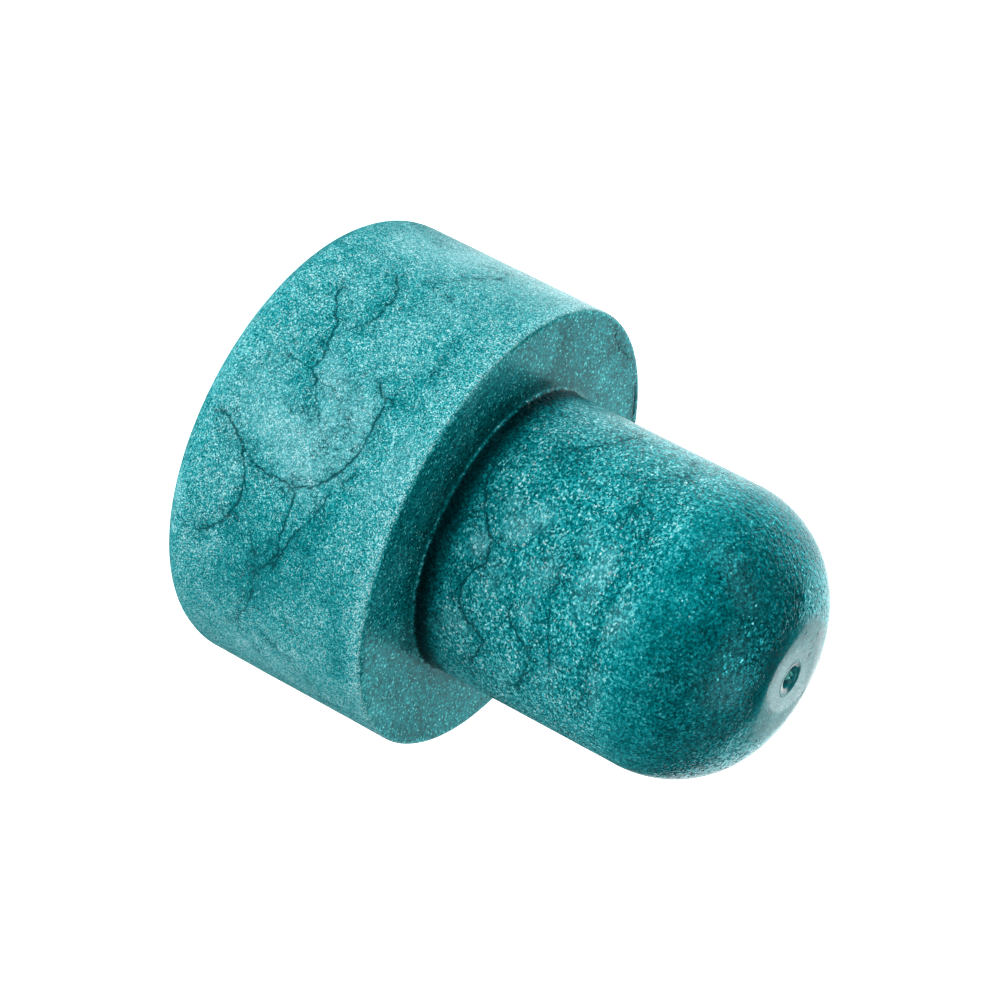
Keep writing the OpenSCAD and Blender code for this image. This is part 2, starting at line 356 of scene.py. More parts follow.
def twigs(samples, weight, rng):
    """Short side creases along a line, as (strength, samples)."""
    out, at = [], rng.uniform(0.2, 0.9)
    length = len(samples) * 0.035
    while at < length - 0.2:
        i = int(at / 0.035)
        along = samples[min(i + 4, len(samples) - 1)] - samples[max(i - 4, 0)]
        along = along / max(np.linalg.norm(along), 1e-6)
        p = samples[i]
        radial = np.array((p[0], p[1], 0.0)) if p[2] < TOTAL - 6 and math.hypot(p[0], p[1]) > 9.0 and not abs(p[2] - HEAD_H) < 0.01 else np.array((0.0, 0.0, 1.0))
        radial = radial / max(np.linalg.norm(radial), 1e-6)
        across = np.cross(radial, along)
        turn = rng.uniform(0.35, 1.3) * (1 if rng.random() < 0.5 else -1)
        way = along * math.cos(turn) * (1 if rng.random() < 0.6 else -1) + across * math.sin(turn)
        reach = rng.uniform(0.25, 0.95)
        n = max(4, int(reach / 0.035))
        t = np.arange(n)[:, None] * 0.035
        curl = rng.uniform(-0.5, 0.5)
        out.append((weight * rng.uniform(0.35, 0.7), p + way * t + np.cross(radial, way) * curl * t * t))
        at += rng.exponential(1.1) + 0.25
    return out


def line_samples():
    rng = np.random.default_rng(77)
    places, strengths = [], []
    for k, (w, pts) in enumerate(all_lines()):
        s = catmull(pts, 0.035)
        plain = s
        shake = np.stack([0.10 * fractal(s, 0.9, 200 + 3 * k + j, 2) + 0.20 * fractal(s, 0.28, 500 + 3 * k + j, 3) for j in range(3)], -1)
        s = s + shake
        along = np.arange(len(s)) * 0.035
        ends = 0.6 + 0.4 * smoothstep(0, 0.5, along) * smoothstep(0, 0.7, along[::-1])
        fade = 0.98 + 0.65 * fractal(s, 0.9, 900 + k, 3)
        places.append(s)
        strengths.append(np.clip(w * ends * fade, 0.04, 1.3))
        if w > 0.6:
            drift = np.stack([0.34 * fractal(plain, 1.6, 1200 + 3 * k + j, 3) + 0.08 * fractal(plain, 0.3, 1300 + 3 * k + j, 2) for j in range(3)], -1)
            places.append(plain + drift)
            strengths.append(np.clip(0.62 * w * (0.5 + 1.6 * fractal(plain, 1.1, 1400 + k, 2)), 0.02, 0.7))
        if w > 0.45:
            for tw, ts in twigs(s, w, rng):
                shake = np.stack([0.07 * fractal(ts, 0.3, 1500 + j, 2) for j in range(3)], -1)
                places.append(ts + shake)
                strengths.append(tw * np.linspace(1.0, 0.45, len(ts)))
    p = np.vstack(places)
    r, z, _, _ = snap(np.hypot(p[:, 0], p[:, 1]), p[:, 2])
    t = np.arctan2(p[:, 1], p[:, 0])
    return np.stack([r * np.cos(t), r * np.sin(t), z], -1), np.concatenate(strengths)


# ---------------------------------------------------------------- patches of pigment
# (angle deg or x mm, height or y mm, half width mm, half height mm, tilt deg, tone, paleness)
HEAD_PATCHES = [
    # The first three patches here make the head's side lighter at angles -150 to -166
    (-162, 7.5, 3.6, 2.6, 12, 0.55, 0.50), (-150, 4.2, 2.6, 1.2, 25, 0.40, 0.35), (-166, 13.2, 3.0, 1.2, 0, 0.35, 0.3),
    (-90, 9.6, 3.2, 1.9, -20, 0.34, 0.62), (-86.5, 7.4, 1.9, 2.3, 0, 0.40, 0.66), (-91, 4.0, 3.0, 2.2, 0, 0.30, 0.50),
    (-101, 9.0, 1.1, 2.2, -32, 0.30, 0.55), (-106, 7.3, 1.9, 0.7, 28, 0.25, 0.45), (-79.5, 9.1, 0.8, 1.1, -40, 0.25, 0.4),
    (-82.5, 10.4, 1.6, 0.5, -35, 0.20, 0.35), (-95, 11.4, 2.2, 0.5, 5, 0.22, 0.42), (-93.6, 14.6, 1.1, 0.9, 0, 0.30, 0.5),
    (-86.5, 14.5, 1.0, 0.7, 0, 0.22, 0.35), (-99, 14.3, 1.0, 0.7, 0, 0.18, 0.3), (-110, 13.9, 0.6, 0.6, 0, 0.22, 0.35),
    (-84, 13.6, 1.4, 0.6, 10, 0.15, 0.25), (-115, 12.2, 0.7, 0.7, 0, 0.15, 0.25), (-159, 7.8, 1.6, 1.2, 10, 0.35, 0.55),
    (-154, 5.0, 2.0, 1.5, 0, 0.30, 0.45), (-146, 7.6, 1.8, 1.4, 20, 0.15, 0.3), (-151, 11.0, 1.5, 0.5, 35, 0.2, 0.35),
    (-132, 10.8, 1.6, 1.3, 0, 0.12, 0.22), (-117, 9.5, 2.4, 1.4, 0, 0.14, 0.2), (-120, 6.2, 0.9, 0.5, 20, 0.18, 0.3),
    (-127, 5.2, 1.0, 0.7, 0, 0.12, 0.2), (-73.5, 10.6, 1.3, 0.6, -25, 0.14, 0.22), (-24, 8.6, 2.2, 2.4, 0, 0.22, 0.36),
    (-20, 5.0, 2.2, 1.8, 0, 0.12, 0.2), (-38, 12.5, 1.6, 0.7, 10, 0.14, 0.2), (-71, 4.2, 1.6, 1.0, -15, 0.12, 0.2),
    (-52, 4.4, 1.2, 0.5, -35, 0.14, 0.22), (-63, 7.5, 0.9, 0.5, -20, 0.06, 0.1), (-68, 6.5, 0.8, 0.4, -30, 0.06, 0.12),
    (-60, 10.3, 3.2, 1.4, -15, -0.30, -0.25), (-52, 8.0, 2.6, 1.2, -10, -0.34, -0.25), (-66, 8.0, 2.0, 0.9, 0, -0.18, -0.2),
    (-62, 5.9, 2.2, 0.7, -10, -0.24, -0.2), (-47, 5.6, 2.4, 1.2, -30, -0.18, -0.15), (-57, 13.2, 1.6, 1.0, 0, -0.26, -0.2),
    (-42, 14.2, 2.2, 0.8, 0, -0.26, -0.2), (-72, 11.6, 2.2, 0.6, -20, -0.22, -0.15), (-136, 8.6, 1.6, 0.8, 10, -0.18, -0.15),
    (-124, 7.2, 1.6, 0.5, 0, -0.24, -0.18), (-134, 6.8, 1.4, 0.5, 30, -0.2, -0.15), (-104, 5.9, 2.3, 0.35, 0, -0.32, -0.25),
    (-118, 13.2, 2.6, 0.5, 0, -0.14, -0.12), (-106, 12.7, 0.8, 1.0, 0, -0.2, -0.15), (-80, 5.0, 0.5, 1.2, -35, -0.22, -0.1),
    (-93.5, 7.6, 1.4, 0.4, 38, -0.2, -0.2), (-90, 13.4, 0.6, 0.4, 0, -0.14, -0.1), (-148, 13.2, 2.4, 0.9, 0, -0.06, 0.05),
]
SHANK_PATCHES = [
    # The two patches in this row make the shank lighter at angles -160 to -166
    (-160, 19.5, 1.6, 2.0, 0, 0.50, 0.45), (-166, 24.5, 1.3, 2.6, 0, 0.30, 0.3),
    (-81.5, 19.25, 0.75, 0.55, 10, 0.55, 0.85), (-92.5, 21.0, 0.9, 0.9, 0, 0.34, 0.55), (-97, 21.6, 0.6, 1.1, 30, 0.3, 0.45),
    (-101.7, 20.1, 0.4, 0.4, 0, 0.34, 0.5), (-103.5, 21.8, 0.5, 0.5, 0, 0.22, 0.3), (-98, 27.2, 0.9, 0.6, 0, 0.28, 0.45),
    (-102, 25.2, 0.8, 0.5, 0, 0.22, 0.35), (-88, 26.8, 1.8, 1.0, 0, 0.2, 0.42), (-79, 29.3, 1.2, 0.8, 0, 0.24, 0.5),
    (-83, 23.6, 0.9, 1.2, 0, 0.2, 0.34), (-70, 24.0, 0.6, 0.5, 0, 0.2, 0.3), (-65.5, 23.5, 0.4, 0.6, 0, 0.2, 0.3),
    (-56, 29.2, 0.8, 0.4, 0, 0.2, 0.3), (-46, 29.3, 0.7, 0.4, 0, 0.18, 0.28), (-46, 26.0, 1.6, 0.7, -20, 0.14, 0.2),
    (-37, 23.0, 1.4, 0.7, -25, 0.14, 0.2), (-148, 26.7, 1.3, 0.4, 15, 0.28, 0.4), (-150, 28.2, 1.2, 0.5, 15, 0.2, 0.3),
    (-147, 19.8, 2.2, 1.4, 0, 0.22, 0.3), (-120, 23.3, 1.2, 0.6, 0, 0.1, 0.15), (-50, 19.6, 0.7, 0.9, 0, 0.2, 0.3),
    (-46, 18.4, 1.3, 0.8, -50, 0.16, 0.2), (-72, 20.8, 1.3, 0.8, 0, 0.14, 0.2), (-88.5, 24.0, 0.8, 0.5, 0, 0.14, 0.2),
    (-70, 24.7, 0.9, 0.3, 0, -0.26, -0.2), (-74, 28.3, 2.4, 0.35, 0, -0.3, -0.2), (-106, 27.8, 0.9, 0.5, 0, -0.28, -0.2),
    (-120, 27.0, 1.8, 1.2, 0, -0.18, -0.15), (-128, 20.8, 1.2, 0.7, -25, -0.3, -0.2), (-118, 22.0, 1.5, 0.9, -20, -0.16, -0.12),
    (-92, 22.6, 0.7, 0.35, 0, -0.28, -0.2), (-92, 25.6, 0.8, 0.5, 0, -0.2, -0.15), (-66, 18.5, 1.0, 0.6, 0, -0.28, -0.2),
    (-40, 24.3, 1.6, 0.4, -20, -0.28, -0.2), (-110, 24.0, 1.4, 0.5, 10, -0.14, -0.1), (-60, 27.6, 2.4, 0.8, 0, -0.08, -0.1),
    (-84, 21.4, 1.0, 0.5, -20, -0.08, -0.1), (-128, 28.4, 1.4, 0.6, 0, -0.2, -0.15),
]
NOSE_PATCHES = [
    (2.4, -5.6, 1.4, 0.9, 0, 0.16, 0.42), (0.8, -6.9, 2.2, 0.8, 0, 0.12, 0.25), (-3.9, -7.4, 1.6, 1.0, 30, 0.12, 0.2),
    (-5.8, -4.2, 1.3, 1.0, 0, 0.05, 0.1), (5.6, -4.0, 1.4, 1.2, 0, 0.05, 0.1), (0.0, -3.5, 3.4, 0.9, 0, -0.24, -0.2),
    (-3.6, -2.6, 1.8, 1.0, 40, -0.24, -0.2), (3.4, -2.6, 1.5, 0.8, -30, -0.2, -0.1), (-1.6, -8.2, 3.0, 0.8, 10, -0.1, -0.1),
]


def patch_fields(p, r, z, theta):
    """Tone and paleness of the pigment at each point, from the placed patches and, elsewhere, from seeded ones."""
    tone, pale = np.zeros(len(p)), np.zeros(len(p))
    warp = np.stack([fractal(p, 1.6, 300 + j, 3) for j in range(3)], -1)
    q = p + 0.55 * warp
    tq = np.arctan2(q[:, 1], q[:, 0])
    on_head = (z < HEAD_H - 0.02) & (r > HEAD_R - BACK_R)
    on_shank = (z > HEAD_H + 0.05) & (z < TOTAL - NOSE_R + 3.0)
    on_nose = z > TOTAL - NOSE_R + 1.0

    def add(mask, du, dv, patch):
        _, _, a, b, tilt, t, w = patch
        c, s = math.cos(math.radians(tilt)), math.sin(math.radians(tilt))
        x, y = (du * c + dv * s) / a, (-du * s + dv * c) / b
        g = np.exp(-(x * x + y * y) ** 1.5 * 0.7) * mask
        tone[:] += (0.45 * t if t > 0 else t) * g
        pale[:] += w * g

    for radius, mask, patches in ((HEAD_R, on_head, HEAD_PATCHES), (SHANK_R, on_shank, SHANK_PATCHES)):
        for patch in patches:
            du = (np.mod(tq - math.radians(patch[0]) + math.pi, 2 * math.pi) - math.pi) * radius
            add(mask, du, q[:, 2] - patch[1], patch)
    for patch in NOSE_PATCHES:
        add(on_nose, q[:, 0] - patch[0], q[:, 1] - patch[1], patch)
    # The far side, the outer end and the lip face
    hidden = smoothstep(-0.1, 0.3, np.sin(theta)) * (1 - 0.0 * r)
    hidden = np.where((z < BACK_R * 0.6) | (np.abs(z - HEAD_H) < 0.05), 1.0, hidden)
    big = fractal(p + 1.2 * warp, 5.5, 71, 3)
    tone += hidden * (0.55 * big)
    pale += hidden * np.clip(big * 0.95 + 0.05, -0.3, 0.7)
    small = fractal(p + 0.5 * warp, 1.5, 83, 3)
    tone += 0.12 * small
    pale += 0.10 * small
    return tone, pale


# ---------------------------------------------------------------- the mesh
def build_stopper():
    verts, faces = revolve(rings())
    samples, strength = line_samples()
    tree = kdtree.KDTree(len(samples))
    for i, s in enumerate(samples):
        tree.insert(s, i)
    tree.balance()
    seen = lambda p: p[1] < 0.5
    bm = bmesh.new()
    vs = [bm.verts.new(v) for v in verts]
    for f in faces:
        bm.faces.new([vs[i] for i in f])
    bm.normal_update()
    for longest, reach in ((0.20, 0.34), (0.10, 0.17), (0.052, 0.085)):
        chosen = []
        for e in bm.edges:
            if e.calc_length() > longest:
                m = (e.verts[0].co + e.verts[1].co) / 2
                if longest < 0.06 and not seen(m):
                    continue
                _, i, d = tree.find(m)
                if d < reach * (0.7 + 0.5 * min(1.0, strength[i])) and strength[i] > 0.2:
                    chosen.append(e)
        bmesh.ops.subdivide_edges(bm, edges=chosen, cuts=1)
        bmesh.ops.triangulate(bm, faces=[f for f in bm.faces if len(f.verts) > 3])
    bm.verts.ensure_lookup_table()
    p = np.array([v.co[:] for v in bm.verts])
    r, z = np.hypot(p[:, 0], p[:, 1]), p[:, 2]
    theta = np.arctan2(p[:, 1], p[:, 0])
    r, z, nr, nz = snap(r, z)
    c, s = np.cos(theta), np.sin(theta)
    p = np.stack([r * c, r * s, z], -1)
    n = np.stack([nr * c, nr * s, nz], -1)

    near, weight, line, crease = (np.zeros(len(p)) for _ in range(4))
    for i, q in enumerate(p):
        _, k, d = tree.find(q)
        near[i], weight[i] = d, strength[k]
        if d < 0.12:
            for _, k, d in tree.find_range(q, 0.12):
                line[i] = max(line[i], strength[k] * (1 - d / 0.115))
                crease[i] = max(crease[i], strength[k] * math.exp(-(d / 0.05) ** 2))

    # Relief: slow waves of the shrinking plastic, the creases, and the orange peel that this spacing can hold
    flat_end = smoothstep(BACK_R, 0.0, z) * (r < HEAD_R - 0.3)
    lip = (np.abs(z - HEAD_H) < 0.3) & (r < HEAD_R)
    tip = smoothstep(4.2, 2.6, r) * (z > HEAD_H + 5)
    calm = np.where(flat_end > 0, 0.35, 1.0) * np.where(lip, 0.6, 1.0) * (1 - 0.6 * tip)
    relief = calm * (0.022 * fractal(p, 5.0, 11, 2) + 0.010 * fractal(p, 1.4, 21, 3))
    relief -= 0.036 * crease
    relief += 0.010 * weight * np.exp(-((near - 0.15) / 0.06) ** 2)
    # Ragged little steps beside the stronger lines
    relief += 0.014 * weight * np.exp(-(near / 0.4) ** 2) * fractal(p, 0.35, 31, 2)
    # The edge of the tip's disc, and the gate dish with its torn stub
    on_tip = z > TOTAL - 1.2
    relief -= on_tip * 0.012 * np.exp(-((r - 2.55) / 0.07) ** 2)
    uneven = r + 0.03 * np.sin(3 * theta + 1.0)
    dish = smoothstep(0.80, 0.62, uneven) * on_tip
    relief -= on_tip * (0.055 * np.clip((1.09 - uneven) / 0.30, 0, 1) + (DISH_D - 0.055) * dish)
    relief += on_tip * 0.022 * np.exp(-((r - 1.14) / 0.06) ** 2)
    ridge = smoothstep(0.72, 0.56, r) * np.exp(-((p[:, 0] + 0.06 + 0.10 * np.sin(p[:, 1] * 5)) / 0.30) ** 2) * np.exp(-((p[:, 1] - 0.12) / 0.50) ** 2) * on_tip
    torn = fractal(p, 0.32, 41, 3)
    relief += ridge * (0.38 + 0.34 * torn) + on_tip * 0.05 * dish * torn
    relief = np.where(on_tip & (r < DISH_R + 0.02), np.minimum(relief, 0.0), relief)
    moved = p + n * relief[:, None]
    moved[:, 2] = np.clip(moved[:, 2], 0.0, TOTAL + 0.05)

    for v, co in zip(bm.verts, moved * MM):
        v.co = co
    bm.normal_update()
    mesh = bpy.data.meshes.new("stopper_body")
    bm.to_mesh(mesh)
    bm.free()
    mesh.shade_smooth()

    tone, pale = patch_fields(p, r, z, theta)
    halo = weight * np.exp(-(near / 0.34) ** 2)
    tone = tone - 0.14 * halo
    halo = weight * np.exp(-(near / 0.6) ** 2)
    halo = np.maximum(halo, 0.4 * smoothstep(0.16, 0.50, fractal(p, 3.2, 67, 3)) * (z > 1.0))
    # Painted shade where the root meets the lip, on the shank's foot and the lip face's inner ring, with a painted
    # highlight along the root's ledge; darker pigment on the nose
    rise = np.maximum(z - HEAD_H, 0)
    painted_root_shadow = smoothstep(2.4, 0.6, rise + 0.3 * fractal(p, 0.9, 65, 3)) * (z > HEAD_H + 0.02)
    painted_lip_ring_shade = (np.abs(z - HEAD_H) < 0.12) * smoothstep(12.0, SHANK_R, r + 0.4 * fractal(p, 0.9, 66, 3))
    painted_shade_and_highlight = 1 - np.maximum(0.95 * painted_root_shadow * (r < SHANK_R + 0.5), 0.42 * painted_lip_ring_shade)
    # Painted highlight: a thin broken bright line along the ledge where the root's fillet meets the lip face
    painted_ledge_highlight = np.exp(-((z - HEAD_H - 0.07) / 0.05) ** 2) * (np.abs(r - SHANK_R - 0.2) < 0.35) * np.clip(0.55 + 1.6 * fractal(p, 0.22, 64, 2), 0, 1)
    painted_shade_and_highlight = np.clip(painted_shade_and_highlight + 1.9 * painted_ledge_highlight, 0, 3.2)
    nose = smoothstep(TOTAL - 7.9, TOTAL - 2.8, z + 1.2 * fractal(p, 3.0, 61, 2)) * (r < SHANK_R + 0.1) * (z > HEAD_H + 1)
    worn = smoothstep(-3.4, -2.2, p[:, 1] + 0.5 * fractal(p, 2.0, 63, 2)) * smoothstep(TOTAL - 2.2, TOTAL - 1.0, z)
    worn = np.maximum(worn, smoothstep(2.9, 2.5, r) * (z > TOTAL - 1))
    tone = tone - 0.60 * nose * (1 - worn) + 0.10 * worn
    tone = tone - 0.10 * ((z > HEAD_H + 0.05) & (z < TOTAL - 5))
    # Paler along the rim of the lip
    tone = tone + 0.22 * smoothstep(HEAD_H - 1.0, HEAD_H - 0.3, z + 0.3 * fractal(p, 0.8, 62, 2)) * (r > HEAD_R - 0.3)
    # Painted shade: the whole lip face is made darker than the sides
    tone = tone - 0.24 * (np.abs(z - HEAD_H) < 0.05) * (r < HEAD_R - 0.2)
    smooth_tip = smoothstep(4.9, 3.4, r + 0.5 * fractal(p, 1.2, 51, 2)) * (z > TOTAL - 4)
    look = np.stack([np.clip(0.5 + 0.5 * tone, 0, 1), np.clip(0.5 + 0.5 * pale, 0, 1), np.clip(line, 0, 1), smooth_tip], -1)
    layer = mesh.attributes.new("finish", "FLOAT_COLOR", "POINT")
    layer.data.foreach_set("color", look.astype(np.float32).ravel())
    stub = np.clip(1.6 * ridge * (0.6 + 1.6 * torn), 0, 1) * dish
    slope = smoothstep(1.10, 1.04, uneven) * smoothstep(0.74, 0.80, uneven) * on_tip
    # The dish mask, used in the material as painted shade inside the gate dish, also takes in the slope of its rim
    dish = np.maximum(dish, 0.7 * slope)
    extra = np.stack([stub, dish, halo, painted_shade_and_highlight], -1)
    layer = mesh.attributes.new("gate", "FLOAT_COLOR", "POINT")
    layer.data.foreach_set("color", extra.astype(np.float32).ravel())
    layer = mesh.attributes.new("polish", "FLOAT", "POINT")
    layer.data.foreach_set("value", np.clip(slope, 0, 1).astype(np.float32))
    piece = bpy.data.objects.new("stopper_body", mesh)
    bpy.context.scene.collection.objects.link(piece)
    print("stopper_body triangles", len(mesh.polygons), "vertices", len(mesh.vertices))
    return piece


# ---------------------------------------------------------------- the plastic
class Nodes:
    """Short hand for building a node tree."""

    def __init__(self, tree, clear=True):
        self.tree = tree
        if clear:
            tree.nodes.clear()

    def add(self, kind, **settings):
        node = self.tree.nodes.new(kind)
        for key, value in settings.items():
            setattr(node, key, value)
        return node

    def put(self, socket, value):
        if isinstance(value, bpy.types.NodeSocket):
            self.tree.links.new(value, socket)
        else:
            socket.default_value = value

    def math(self, op, a, b=0.0, clamp=False):
        node = self.add("ShaderNodeMath", operation=op, use_clamp=clamp)
        self.put(node.inputs[0], a)
        self.put(node.inputs[1], b)
        return node.outputs[0]

    def span(self, value, a, b, lo=0.0, hi=1.0, smooth=False):
        node = self.add("ShaderNodeMapRange", interpolation_type="SMOOTHSTEP" if smooth else "LINEAR")
        for k, v in enumerate((value, a, b, lo, hi)):
            self.put(node.inputs[k], v)
        return node.outputs[0]

    def mix(self, fac, a, b, blend="MIX"):
        node = self.add("ShaderNodeMix", data_type="RGBA", blend_type=blend)
        self.put(node.inputs[0], fac)
        self.put(node.inputs[6], a)
        self.put(node.inputs[7], b)
        return node.outputs[2]

    def noise(self, co, scale, detail=2.0, rough=0.5):
        node = self.add("ShaderNodeTexNoise")
        self.put(node.inputs["Vector"], co)
        node.inputs["Scale"].default_value = scale
        node.inputs["Detail"].default_value = detail
        node.inputs["Roughness"].default_value = rough
        return node

    def voronoi(self, co, scale, feature="F1"):
        node = self.add("ShaderNodeTexVoronoi", feature=feature)
        self.put(node.inputs["Vector"], co)
        node.inputs["Scale"].default_value = scale
        return node


def plastic():
    mat = bpy.data.materials.new("pearl_teal_plastic")
    mat.use_nodes = True
    n = Nodes(mat.node_tree)
    out = n.add("ShaderNodeOutputMaterial")
    bsdf = n.add("ShaderNodeBsdfPrincipled")
    n.tree.links.new(bsdf.outputs[0], out.inputs[0])

    # Coordinates in millimetres on the part
    where = n.add("ShaderNodeTexCoord")
    to_mm = n.add("ShaderNodeVectorMath", operation="SCALE")
    n.put(to_mm.inputs[0], where.outputs["Object"])
    to_mm.inputs["Scale"].default_value = 1000.0
    co = to_mm.outputs[0]

    finish = n.add("ShaderNodeAttribute", attribute_name="finish")
    parts = n.add("ShaderNodeSeparateColor")
    n.put(parts.inputs[0], finish.outputs["Color"])
    tone, pale, line = parts.outputs[0], parts.outputs[1], parts.outputs[2]
    tip = finish.outputs["Alpha"]
    gate = n.add("ShaderNodeAttribute", attribute_name="gate")
    gates = n.add("ShaderNodeSeparateColor")
    n.put(gates.inputs[0], gate.outputs["Color"])
    stub, dish, halo = gates.outputs[0], gates.outputs[1], gates.outputs[2]
    painted_shade_and_highlight = gate.outputs["Alpha"]
    rough_skin = n.math("SUBTRACT", 1.0, tip, clamp=True)
    polish = n.add("ShaderNodeAttribute", attribute_name="polish").outputs["Fac"]

    # Pigment that was drawn out as the plastic flowed
    bend = n.noise(co, 0.45, 3.0, 0.6)
    shift = n.add("ShaderNodeVectorMath", operation="SUBTRACT")
    n.put(shift.inputs[0], bend.outputs["Color"])
    shift.inputs[1].default_value = (0.5, 0.5, 0.5)
    grow = n.add("ShaderNodeVectorMath", operation="SCALE")
    n.put(grow.inputs[0], shift.outputs[0])
    grow.inputs["Scale"].default_value = 4.0
    flow = n.add("ShaderNodeVectorMath", operation="ADD")
    n.put(flow.inputs[0], co)
    n.put(flow.inputs[1], grow.outputs[0])
    cloud = n.noise(flow.outputs[0], 1.1, 4.0, 0.62).outputs["Fac"]
    streak = n.noise(flow.outputs[0], 3.2, 3.0, 0.6).outputs["Fac"]

    # Pearl flakes: each cell is one flake, which catches the light or does not. On the shank they are larger, and drawn out round it
    xyz = n.add("ShaderNodeSeparateXYZ")
    n.put(xyz.inputs[0], co)
    radius = n.math("SQRT", n.math("ADD", n.math("MULTIPLY", xyz.outputs[0], xyz.outputs[0]), n.math("MULTIPLY", xyz.outputs[1], xyz.outputs[1])))
    on_shank = n.math("MULTIPLY", n.span(xyz.outputs[2], HEAD_H - 0.1, HEAD_H), n.span(radius, SHANK_R + 0.5, SHANK_R + 0.1))
    on_nose = n.span(xyz.outputs[2], TOTAL - 8.5, TOTAL - 4.0, smooth=True)
    turned = n.math("MULTIPLY", n.math("ARCTAN2", xyz.outputs[1], xyz.outputs[0]), SHANK_R * 0.8)
    rolled = n.add("ShaderNodeCombineXYZ")
    n.put(rolled.inputs[0], turned)
    n.put(rolled.inputs[1], xyz.outputs[2])
    n.put(rolled.inputs[2], radius)

    def parted(cells):
        split = n.add("ShaderNodeSeparateColor")
        n.put(split.inputs[0], cells)
        return split.outputs

    def blend_colour(fac, a, b):
        return n.mix(fac, a, b)

    def blend(fac, a, b):
        node = n.add("ShaderNodeMix", data_type="FLOAT")
        n.put(node.inputs[0], fac)
        n.put(node.inputs[2], a)
        n.put(node.inputs[3], b)
        return node.outputs[0]

    flat_lip = n.math("MULTIPLY", n.span(xyz.outputs[2], HEAD_H - 0.06, HEAD_H - 0.03), n.math("MULTIPLY", n.span(xyz.outputs[2], HEAD_H + 0.12, HEAD_H + 0.06), n.span(radius, SHANK_R, SHANK_R + 0.4)))
    head_flakes = n.mix(flat_lip, n.voronoi(co, FLAKE_HEAD).outputs["Color"], n.voronoi(co, FLAKE_LIP).outputs["Color"])
    shank_flakes = n.voronoi(rolled.outputs[0], FLAKE_SHANK).outputs["Color"]
    nose_flakes = n.voronoi(co, FLAKE_NOSE).outputs["Color"]
    head_cells, shank_cells, nose_cells = parted(head_flakes), parted(shank_flakes), parted(nose_flakes)
    fine = blend(on_nose, blend(on_shank, head_cells[0], shank_cells[0]), nose_cells[0])
    rare = blend(on_nose, blend(on_shank, head_cells[1], shank_cells[1]), nose_cells[1])
    grain = n.noise(co, 5.5, 2.0, 0.6).outputs["Fac"]

    # How light the pigment is, as a power of e round the middle tone
    power = n.span(tone, 0.0, 1.0, -1.15, 1.15)
    power = n.math("ADD", power, n.span(cloud, 0.3, 0.7, -CLOUD, CLOUD))
    power = n.math("ADD", power, n.span(streak, 0.3, 0.7, -STREAK, STREAK))
    power = n.math("ADD", power, n.math("MULTIPLY", n.math("MULTIPLY", n.span(grain, 0.3, 0.7, -GRAIN, GRAIN), n.span(on_shank, 0.0, 1.0, 0.7, 1.35)), n.span(tip, 0, 1, 1.0, 0.25)))
    amount = n.math("MULTIPLY", n.span(tip, 0.0, 1.0, 1.0, 0.3), n.span(flat_lip, 0.0, 1.0, 1.0, 0.85))
    amount = n.math("MULTIPLY", amount, n.math("MULTIPLY", n.span(pale, 0.5, 0.85, 1.0, 0.80), n.math("MULTIPLY", n.span(on_shank, 0.0, 1.0, 1.25, 1.1), n.span(on_nose, 0.0, 1.0, 1.0, 0.78))))
    power = n.math("ADD", power, n.math("MULTIPLY", n.span(fine, 0.0, 1.0, -FLAKE, FLAKE), amount))
    # Rare flakes made brighter in colour: partly pearl pigment, partly painted glints, with 2.3 times as much painted
    # glint on the lip face
    power = n.math("ADD", power, n.math("MULTIPLY", n.math("MULTIPLY", n.span(rare, 0.88, 0.95, 0.0, SPARK_AND_PAINTED_GLINT), rough_skin), n.span(flat_lip, 0.0, 1.0, 1.0, 2.3)))
    pepper = n.voronoi(co, 22.0).outputs["Color"]
    power = n.math("ADD", power, n.math("MULTIPLY", n.span(parted(pepper)[0], 0.0, 1.0, -0.5, 0.5), tip))
    # Painted shade and painted highlight from the gate attribute's alpha: dark on the shank's foot and the lip's inner
    # ring, bright along the root's ledge
    level = n.math("MULTIPLY", n.math("MULTIPLY", n.math("EXPONENT", power), MIDDLE), painted_shade_and_highlight)
    # Painted shade: the gate dish and the slope of its rim are darkened, down to a quarter
    level = n.math("MULTIPLY", level, n.span(dish, 0.0, 1.0, 1.0, 0.25))
    ramp = n.add("ShaderNodeValToRGB")
    n.put(ramp.inputs[0], level)
    stops = ramp.color_ramp
    stops.interpolation = "LINEAR"
    stops.elements[0].position, stops.elements[0].color = 0.0, (0.0, 0.004, 0.006, 1)
    stops.elements[1].position, stops.elements[1].color = 1.0, (0.62, 0.93, 0.95, 1)
    for at, colour in ((0.10, (0.000, 0.100, 0.114)), (0.28, (0.001, 0.280, 0.312)), (0.40, (0.018, 0.400, 0.438)), (0.60, (0.110, 0.600, 0.640)), (0.82, (0.320, 0.810, 0.845))):
        stop = stops.elements.new(at)
        stop.color = (*colour, 1)
